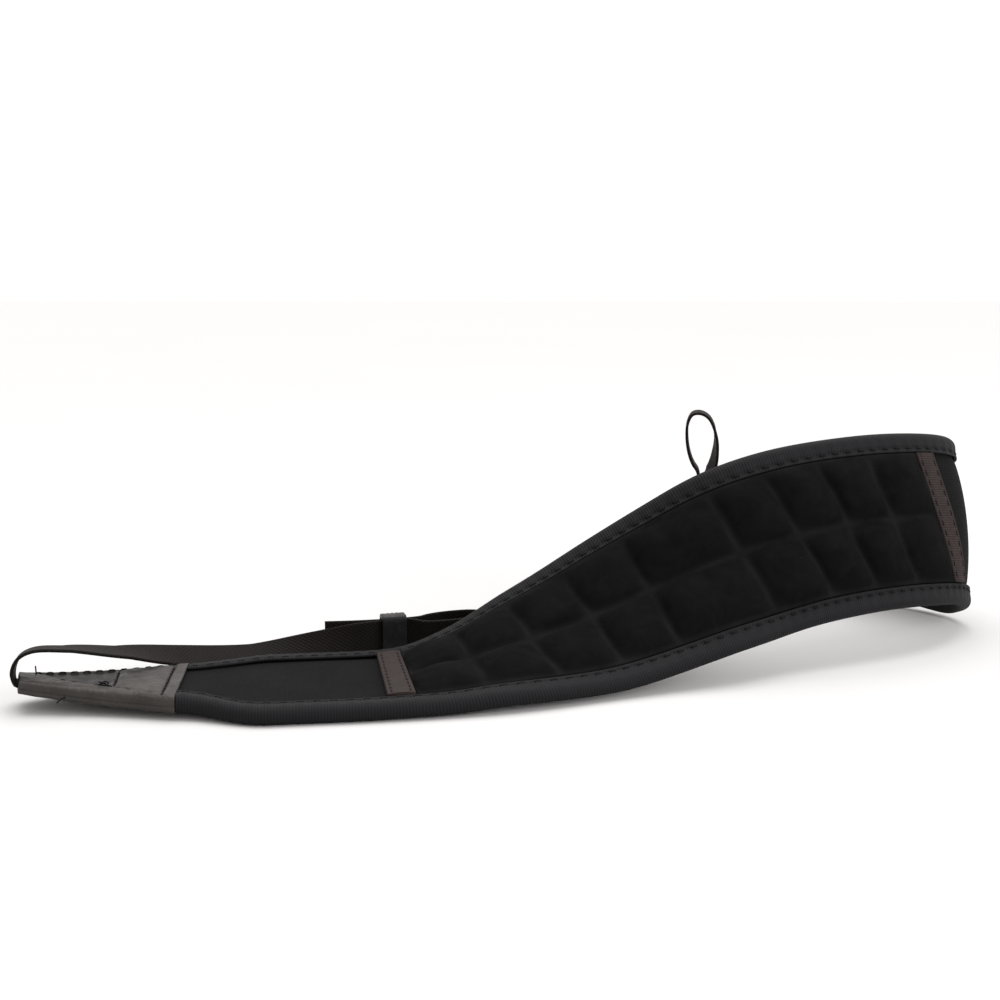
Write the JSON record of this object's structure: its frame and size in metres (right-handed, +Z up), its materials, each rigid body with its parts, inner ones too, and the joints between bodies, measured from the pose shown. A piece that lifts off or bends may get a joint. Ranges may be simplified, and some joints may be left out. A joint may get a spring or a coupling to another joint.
{
  "type": "camera neck strap",
  "caption": "Padded camera neck strap lying curved on a table, with a quilted lining, knit-bound edges, leather ends and thin webbings that end in lug loops.",
  "frame": {"origin": "middle of the strap's footprint, on the table it lies on", "axes": "+X from the left leather end towards the bend at the right, +Y away from the front, +Z up"},
  "size_m": [0.3064, 0.1518, 0.0725],
  "materials": {
    "neoprene": "black knit-faced neoprene foam, matt",
    "lining": "black suede-like microfibre, very matt",
    "knit": "charcoal ribbed knit tape, slight sheen",
    "ribbon": "brownish grey grosgrain tape",
    "leather": "dark grey synthetic leather, fine grain, satin",
    "webbing": "dark brown-grey woven nylon, slight sheen",
    "plastic": "black moulded plastic"
  },
  "bodies": {
    "root": {"neck_band": "neoprene", "quilted_pad": "lining", "binding_front": "knit", "binding_back": "knit", "ribbon_left": "ribbon", "ribbon_right": "ribbon", "leather_end_left": "leather", "leather_end_right": "leather", "webbing_left": "webbing", "webbing_right": "webbing", "slider_left": "plastic", "slider_right": "plastic"}
  },
  "joints": []
}
